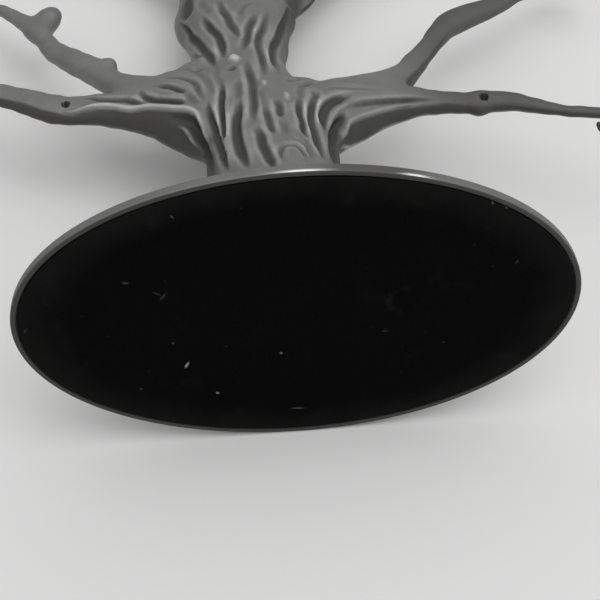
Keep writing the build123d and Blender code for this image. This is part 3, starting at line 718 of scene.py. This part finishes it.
def seam_of(stations, index):
    """Middle of a limb's seam and the direction of growth there."""
    before, after = stations[index - 1, :3], stations[index + 1, :3]
    middle = stations[index, :3] + np.array([0, 0, FOOT])
    return middle, (after - before) / np.linalg.norm(after - before)


def past_seam(stations, index, axes):
    """Distance of every lattice point past a limb's seam, along its growth."""
    middle, growth = seam_of(stations, index)
    parts = [growth[i] * (axes[i] - middle[i]) for i in range(3)]
    total = parts[0][:, None, None] + parts[1][None, :, None] + parts[2][None, None, :]
    return total.astype(np.float32)


def raised_path(stations):
    """Smooth path of a limb with its heights counted from the table."""
    return through(stations + np.array([0, 0, FOOT, 0, 0]))


def root_field(axes):
    """Depth inside the roots: upright ovals whose height and size follow the root profile outwards."""
    x, y = (part[..., None] for part in np.meshgrid(axes[0], axes[1], indexing="ij"))
    z = axes[2][None, None, :]
    profile = through(ROOT_PROFILE)
    total = np.full((len(axes[0]), len(axes[1]), len(axes[2])), FAR_OUTSIDE, np.float32)
    for degrees, shortfall in ROOTS:
        angle = np.radians(degrees)
        edge = 1 / np.hypot(np.cos(angle) / top[0], np.sin(angle) / top[1])
        reach = edge - ROOT_MARGIN - shortfall
        out = x * np.cos(angle) + y * np.sin(angle)
        side = y * np.cos(angle) - x * np.sin(angle)
        share = (out - ROOT_START) / (reach - ROOT_START)
        height, width, depth = (np.interp(share, profile[:, 0], profile[:, i]) for i in (1, 2, 3))
        gap = np.sqrt((side / width) ** 2 + ((z - FOOT - height) / depth) ** 2)
        beyond = np.maximum(out - reach, 0) + np.maximum(ROOT_START - out, 0)
        total = np.maximum(total, ((1 - gap) * np.minimum(width, depth) - beyond).astype(np.float32))
    return total


def ball(spot, axes):
    """Depth inside a small ball, given as its middle and radius."""
    x, y, z = (axis - middle for axis, middle in zip(axes, spot))
    distance = np.sqrt(x[:, None, None] ** 2 + y[None, :, None] ** 2 + z[None, None, :] ** 2)
    return (spot[3] - distance).astype(np.float32)


trunk_path = raised_path(TRUNK)


def with_limbs(total, limbs, axes):
    """A field blended with limbs, each of them cut at its seam."""
    x, z = np.meshgrid(axes[0], axes[2], indexing="ij")
    for stations, index in limbs:
        limb = limb_field(raised_path(stations[:index + 2]), x, axes[1], z)
        total = blended(total, np.minimum(limb, -past_seam(stations, index, axes)))
    return total


def bole_field(axes, limbs):
    """Depth inside the trunk and the limbs that fork from it, up to their seams."""
    x, z = np.meshgrid(axes[0], axes[2], indexing="ij")
    return with_limbs(limb_field(trunk_path, x, axes[1], z), limbs, axes)


def lower_trunk_field(axes):
    """Trunk up to the waist, its roots, and the limbs up to their seams."""
    height = axes[2][None, None, :].astype(np.float32)
    trunk = np.minimum(bole_field(axes, CROWN_STUBS), WAIST - height)
    total = with_limbs(blended(trunk, root_field(axes)), SEAMS.values(), axes)
    for lump in (THORN, *SHOULDERS):
        total = blended(total, ball(lump, axes))
    return np.minimum(total, height - FOOT + FOOT_SINK)


# Box and pitch of the lattice, then the rows of the trunk's path and the angles of the fine grooves
TRUNK_BOX = ((-64, -42, 4), (62, 42, 138))
TRUNK_PITCH = 0.66
FOOT_ROWS, FOOT_ANGLES = (6, 26), np.arange(-176, 184, 20)
trunk_axes = lattice(*TRUNK_BOX, TRUNK_PITCH)
bark_lines = laid_lines(GROOVES + CHIPS, -1, 0) + laid_lines(GROOVES, 1, BACK_CLEARANCE)
trunk_bark = bark_lines + run_grooves(trunk_path, *FOOT_ROWS, FOOT_ANGLES)
tree_piece("lower_trunk", lower_trunk_field(trunk_axes), trunk_axes, TRUNK_PITCH, trunk_bark)


# Upper trunk: the casting above the waist, where the trunk widens and forks, with the stubs of
# the four crown branches. An oval peg under it fits a socket in the lower trunk.

# Stations of the two leaders, given as those of the limbs, and the station at each seam of the crown
LEFT_LEADER = np.array([
    (-20.5, 0, 172, 7.6, 7.2), (-18.5, 0.5, 184, 6.4, 6.0), (-16.5, 1, 194, 5.4, 5.0),
    (-17, 2.5, 205, 4.6, 4.2), (-20, 4, 216, 3.9, 3.4), (-22.5, 5.5, 226, 3.0, 2.6),
    (-27, 7, 234.5, 2.2, 2.0)])
RIGHT_LEADER = np.array([
    (9.5, 0, 170, 7.2, 6.8), (11.5, -0.5, 182.5, 6.0, 5.6), (13, -1, 193, 5.0, 4.7),
    (12, -2.5, 204, 4.3, 3.9), (13.5, -4, 215, 3.6, 3.1), (18, -5.5, 225, 2.8, 2.4),
    (24, -6.5, 232.5, 2.1, 1.9)])
CROWN_SEAMS = {"left_crown": (LEFT_CROWN, 5), "left_leader": (LEFT_LEADER, 2),
               "right_crown": (RIGHT_CROWN, 5), "right_leader": (RIGHT_LEADER, 2)}

# Seams: length of a casting that runs on inside the one before it, and what is added and lost there
OVERLAP, HAIR, LOSS = 2.6, 0.04, 0.34


def feather(past):
    """Thickness added near a seam, so that one casting runs out to nothing inside the other: a hair just
    before the seam, and a loss further back."""
    return HAIR * (1 - smooth_rise(past, 0.2, 1.2)) - LOSS * (1 - smooth_rise(past, -2.4, -1.0))


def upper_trunk_field(axes):
    """Trunk above the waist and the crown branches up to their seams."""
    past = axes[2][None, None, :].astype(np.float32) - WAIST
    return np.minimum(bole_field(axes, CROWN_SEAMS.values()) + feather(past), past + OVERLAP)


# Box and pitch of the lattice, then the rows of the crown's paths and the angles of the fine grooves
UPPER_BOX = ((-42, -16, 122), (32, 16, 208))
UPPER_PITCH = 0.6
CROWN_ROWS, CROWN_ANGLES = (19, 38), np.arange(-170, 190, 24)
upper_axes = lattice(*UPPER_BOX, UPPER_PITCH)
upper_bark = [*bark_lines]
for stations in (LEFT_CROWN, RIGHT_CROWN):
    upper_bark += run_grooves(raised_path(stations), *CROWN_ROWS, CROWN_ANGLES)
tree_piece("upper_trunk", upper_trunk_field(upper_axes), upper_axes, UPPER_PITCH, upper_bark)


# Branches: eight smoother castings that plug into the stubs on round pegs and end in curled tips.
# The two lowest have a drilled hang hole, and the left fork has a cut-off twig.

# All eight branches, each with the number of the station at its seam
BRANCHES = {**SEAMS, **CROWN_SEAMS}

# Curled tips: radius of the bend at its start and end, radius of the tip, steps, and turn
CURL_START, CURL_END, CURL_TIP, CURL_STEPS = 5.4, 4.6, 1.1, 9
CURL_TURN = np.radians(255)
CURL_SIDES = {"left": 1, "right": -1}

# Hang holes: place across the tree and above the table, and half sizes at the mouth
HANG_HOLES = {"left_limb": (-66, 106.2), "right_limb": (64.5, 94.2)}
HOLE_WIDTH, HOLE_HEIGHT = 1.4, 1.8

# Cut-off twig of the left fork, as stations, and the boss under the right hang hole, as middle and radius
TWIG = np.array([(-77.4, 0, 153, 3.0, 2.6), (-76.3, 0, 156, 3.6, 3.2), (-74.9, -0.5, 160.5, 4.2, 3.5),
                 (-74.2, -0.7, 162.2, 3.8, 3.1)])
BOSS = (63.0, 0.5, 92.2, 1.2)

# Lattice of a branch: pitch, margin round it, and reach round the seam in which it is cut off
BRANCH_PITCH, BRANCH_MARGIN, SEAM_REACH = 0.42, 3.0, 16.0


def curled(stations, side):
    """The stations with a tip added that turns in steps on a tightening radius and thins out."""
    end = stations[-1]
    heading = np.arctan2(end[2] - stations[-2, 2], end[0] - stations[-2, 0])
    step = np.arange(1, CURL_STEPS + 1)
    turn = side * CURL_TURN / CURL_STEPS
    chord = 2 * (CURL_START + (CURL_END - CURL_START) * step / CURL_STEPS) * np.sin(abs(turn) / 2)
    angle = heading + turn * (step - 0.5)
    start = end[3:].mean()
    radius = start + (CURL_TIP - start) * step / CURL_STEPS
    x = end[0] + np.cumsum(chord * np.cos(angle))
    height = end[2] + np.cumsum(chord * np.sin(angle))
    return np.vstack([stations, np.stack([x, end[1] + 0 * x, height, radius, radius], -1)])


def branch_depth(node, path, axes):
    """Depth inside a branch, from just before its seam to its tip, with its twig, boss or hang hole."""
    stations, index = BRANCHES[node]
    x, z = np.meshgrid(axes[0], axes[2], indexing="ij")
    past = past_seam(stations, index, axes)
    total = limb_field(path, x, axes[1], z)
    if node == "left_fork":
        total = blended(total, limb_field(raised_path(TWIG), x, axes[1], z))
    near_seam = np.hypot(x - stations[index, 0], z - FOOT - stations[index, 2]) < SEAM_REACH
    total = np.where(near_seam[:, None, :], np.minimum(total + feather(past), past + OVERLAP), total)
    if node == "right_limb":
        total = blended(total, ball(BOSS, axes))
    if node in HANG_HOLES:
        across, up = x - HANG_HOLES[node][0], z - HANG_HOLES[node][1]
        hole = (np.hypot(across / HOLE_WIDTH, up / HOLE_HEIGHT) - 1) * HOLE_WIDTH
        total = np.minimum(total, hole[:, None, :].astype(np.float32))
    return total


for node, (stations, index) in BRANCHES.items():
    side = CURL_SIDES[node.split("_")[0]]
    branch_path = raised_path(curled(stations, side))
    shown = branch_path[PER_SPAN * index:]
    low = (shown[:, :3] - shown[:, 3:4]).min(0) - BRANCH_MARGIN
    high = (shown[:, :3] + shown[:, 3:4]).max(0) + BRANCH_MARGIN
    axes = lattice(low, high, BRANCH_PITCH)
    tree_piece(node, branch_depth(node, branch_path, axes), axes, BRANCH_PITCH, bark_lines)


# Table: a pale smooth table top on which the stand lies on its back, touching at the base's
# back edge. It shows from its upper side only.

# Height at the origin and slope along the tree, then the reach to each side and the two ends
TABLE_HEIGHT, TABLE_SLOPE = 44.6, -0.151
TABLE_REACH, TABLE_NEAR, TABLE_FAR = 1500.0, -1500.0, 1800.0


def table_top():
    """Pale matt laminate with faint cloudiness, clear from behind."""
    material, tree, place = new_material("table_top")
    cloud = place.noise(4, 4)
    tone = cloud.mix(grey(0.8, 0.003), grey(0.84, 0.003))
    face = tree.add("ShaderNodeBsdfPrincipled", {}, {"Base Color": tone, "Roughness": 0.6})
    behind = tree.add("ShaderNodeNewGeometry", {}, {}, 6)
    clear = tree.add("ShaderNodeBsdfTransparent", {}, {})
    shader = tree.add("ShaderNodeMixShader", {}, {0: behind, 1: face, 2: clear})
    tree.add("ShaderNodeOutputMaterial", {}, {"Surface": shader})
    return material


table_x = np.array([-TABLE_REACH, TABLE_REACH, TABLE_REACH, -TABLE_REACH])
table_z = np.array([TABLE_NEAR, TABLE_NEAR, TABLE_FAR, TABLE_FAR])
table_points = np.stack([table_x, TABLE_HEIGHT + TABLE_SLOPE * table_z, table_z], -1) / 1000
table_mesh = bpy.data.meshes.new("table")
table_mesh.from_pydata(table_points, [], [(0, 1, 2, 3)])
table_mesh.materials.append(table_top())
table = bpy.data.objects.new("table", table_mesh)
bpy.context.scene.collection.objects.link(table)
table.visible_shadow = False


# Light and camera: a broad soft lamp over the table, from the viewer's right, a pale room that is
# brightest overhead, and a lamp below the table for the tree's back. The camera faces the felt.

# Lamps: place and aim in metres, size in metres and power in watts
LAMPS = {"overhead": ((0.45, -1.2, -0.3), (0, 0, 0.1), 1.2, 6),
         "behind": ((0.0, 1.2, 0.6), (0, 0, 0.12), 0.8, 5)}
SKY_MIDDLE, SKY_STRENGTH = (0.08, -0.97, -0.2), 0.95

# Camera: turns in radians, aim and distance in millimetres, and lens in pixels of the picture
TILT, YAW, ROLL = 0.68635, 0.03491, -0.05233
TARGET = np.array([0.744, -2.963, 0.0])
DISTANCE = 421.088
FOCAL_PIXELS, IMAGE_PIXELS, SENSOR = 1594.0, 600.0, 36.0
SHIFT_UP = 0.0037


def look(backward, upward, place):
    """Matrix of a lamp or camera whose back points along backward, at a place in metres."""
    across = np.cross(upward, backward)
    across = across / np.linalg.norm(across)
    rows = np.eye(4)
    rows[:3, 0], rows[:3, 1], rows[:3, 2] = across, np.cross(backward, across), backward
    rows[:3, 3] = place
    return Matrix(rows.tolist())


def area_lamp(name, place, aim, size, power):
    """Square lamp at a place in metres, turned to a point."""
    lamp = bpy.data.lights.new(name, "AREA")
    lamp.size = size
    lamp.energy = power
    item = bpy.data.objects.new(name, lamp)
    direction = np.array(place, float) - np.array(aim, float)
    item.matrix_world = look(direction / np.linalg.norm(direction), (0, 0, 1), place)
    bpy.context.scene.collection.objects.link(item)


for name, settings in LAMPS.items():
    area_lamp(name, *settings)

world = bpy.data.worlds.new("room")
world.use_nodes = True
world.node_tree.nodes.clear()
room = Value(world.node_tree)
direction = room.add("ShaderNodeTexCoord", {}, {})
overhead = room.add("ShaderNodeVectorMath", {"operation": "DOT_PRODUCT"}, {0: direction, 1: SKY_MIDDLE}, 1)
sky = overhead.step(0.1, 1.0).mix(grey(0.26), grey(0.9))
background = room.add("ShaderNodeBackground", {}, {"Color": sky, "Strength": SKY_STRENGTH})
room.add("ShaderNodeOutputWorld", {}, {"Surface": background})
bpy.context.scene.world = world
bpy.context.scene.view_settings.view_transform = "Standard"

view = np.array([np.sin(YAW) * np.cos(TILT), np.sin(TILT), np.cos(TILT) * np.cos(YAW)])
view = view / np.linalg.norm(view)
level = np.cross(view, (0, -1, 0))
level = level / np.linalg.norm(level)
upright = np.cross(level, view)
tilted_up = np.cos(ROLL) * upright - np.sin(ROLL) * level
lens = bpy.data.cameras.new("camera")
lens.sensor_width = SENSOR
lens.lens = SENSOR * FOCAL_PIXELS / IMAGE_PIXELS
lens.clip_start, lens.clip_end = 0.01, 20
lens.shift_y = SHIFT_UP
camera = bpy.data.objects.new("camera", lens)
camera.matrix_world = look(-view, tilted_up, (TARGET - DISTANCE * view) / 1000)
bpy.context.scene.collection.objects.link(camera)
bpy.context.scene.camera = camera
